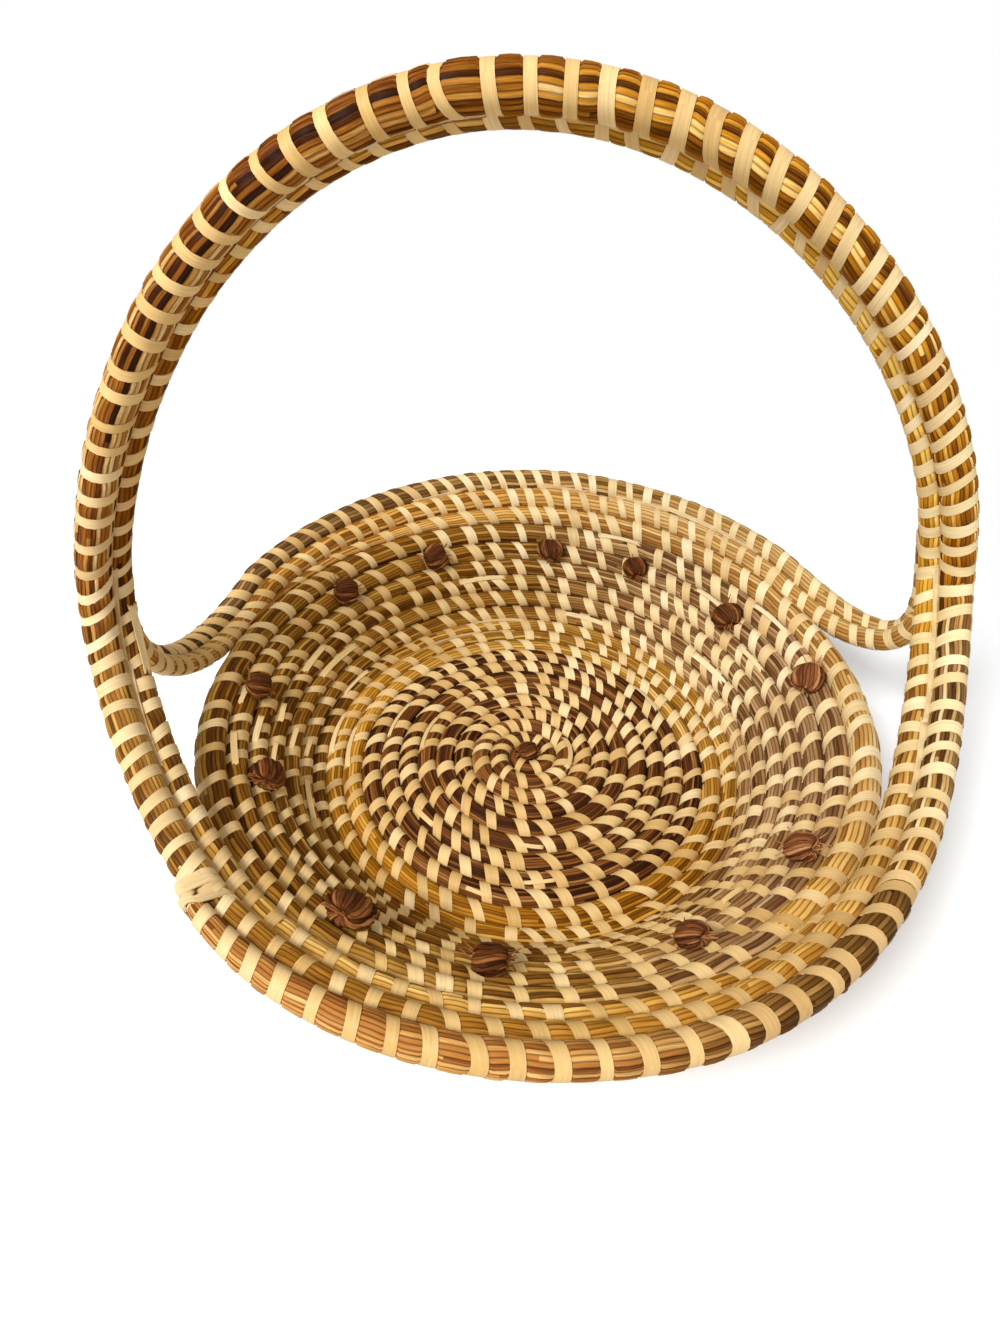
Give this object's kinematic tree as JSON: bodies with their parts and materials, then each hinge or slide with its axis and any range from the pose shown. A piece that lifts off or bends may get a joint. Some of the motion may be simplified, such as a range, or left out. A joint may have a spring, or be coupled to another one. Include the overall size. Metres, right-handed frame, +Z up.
{
  "type": "coiled sweetgrass basket",
  "caption": "Round open basket sewn from spiral coils of dark, brown and golden grass, with ribbed needle knots on the wall and a tall fixed arched handle.",
  "frame": {"origin": "on the table, under the middle of the round floor", "axes": "+Z up, +X along the handle's span to the right side of the picture, -Y to the low front of the basket"},
  "size_m": [0.36, 0.3434, 0.2808],
  "materials": {
    "dark_needles": "dry dark longleaf pine needles",
    "golden_sweetgrass": "dry golden sweetgrass, slight sheen",
    "brown_bulrush": "dry brown bulrush, matte",
    "reddish_rim_needles": "dry reddish brown needles",
    "handle_grass": "dry amber grass, slight sheen",
    "palmetto_strip": "pale dry palmetto leaf, satin"
  },
  "bodies": {
    "root": {"base_coil_dark": "dark_needles", "base_coil_golden": "golden_sweetgrass", "wall_coil_brown": "brown_bulrush", "shoulder_coil_golden": "golden_sweetgrass", "front_golden_coil": "golden_sweetgrass", "front_upper_golden_coil": "golden_sweetgrass", "front_rim_coil": "reddish_rim_needles", "back_golden_coil": "golden_sweetgrass", "back_rim_coil": "brown_bulrush", "handle_outer_coil": "handle_grass", "handle_inner_coil": "golden_sweetgrass", "left_front_lashing": "palmetto_strip", "left_handle_lashing": "palmetto_strip", "right_handle_lashing": "palmetto_strip", "left_tip_lashing": "palmetto_strip", "right_tip_lashing": "palmetto_strip", "wall_knot_01": "dark_needles", "wall_knot_02": "dark_needles", "wall_knot_03": "dark_needles", "wall_knot_04": "dark_needles", "wall_knot_05": "dark_needles", "wall_knot_06": "dark_needles", "wall_knot_07": "dark_needles", "wall_knot_08": "dark_needles", "wall_knot_09": "dark_needles", "wall_knot_10": "dark_needles", "wall_knot_11": "dark_needles", "wall_knot_12": "dark_needles", "centre_knot": "dark_needles"}
  },
  "joints": []
}
